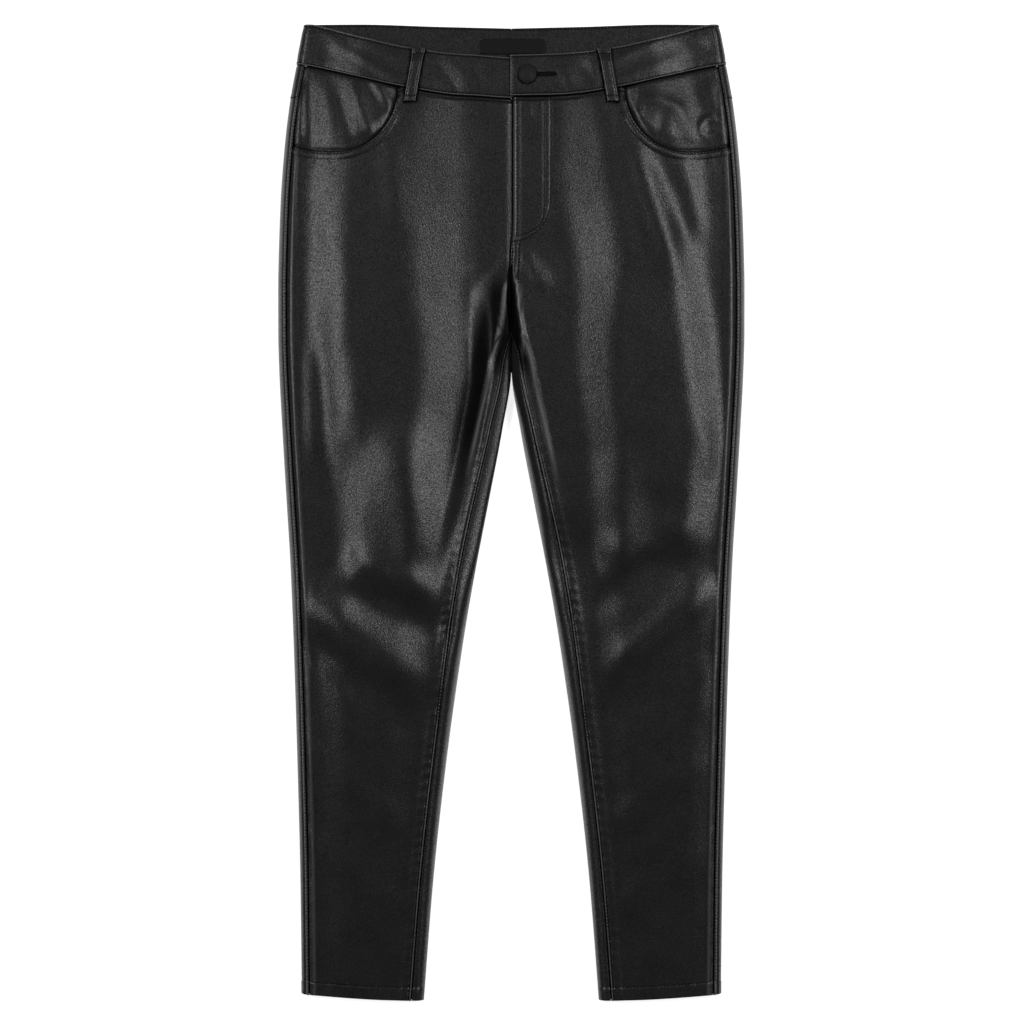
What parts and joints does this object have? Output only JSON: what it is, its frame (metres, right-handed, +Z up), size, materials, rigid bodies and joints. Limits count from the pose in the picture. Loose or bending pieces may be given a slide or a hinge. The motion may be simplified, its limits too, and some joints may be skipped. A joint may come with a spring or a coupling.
{
  "type": "leather trousers, skinny cut, laid flat",
  "caption": "Black leather trousers laid flat on their back: contoured waistband with belt loops, covered button and fly, scooped front pockets, tapered legs.",
  "frame": {"origin": "centre of the bounding box on the surface that the garment lies on", "axes": "+Y from the hems to the waist, +X to the wearer's left, +Z up, out of the front of the garment"},
  "size_m": [0.4662, 0.977, 0.0427],
  "materials": {
    "leather": "fine-grained, soft semi-gloss, black",
    "button_leather": "smooth matt black cover",
    "label_satin": "black satin weave"
  },
  "bodies": {
    "root": {"front_panel_left": "leather", "front_panel_right": "leather", "back_panel_left": "leather", "back_panel_right": "leather", "back_yoke_left": "leather", "back_yoke_right": "leather", "waistband_left": "leather", "waistband_right": "leather", "pocket_facing_left": "leather", "pocket_facing_right": "leather", "fly_underlap": "leather", "belt_loop_front_left": "leather", "belt_loop_front_right": "leather", "belt_loop_back_left": "leather", "belt_loop_back_centre": "leather", "belt_loop_back_right": "leather", "waist_button": "button_leather", "waist_label": "label_satin", "size_tab": "label_satin"}
  },
  "joints": []
}
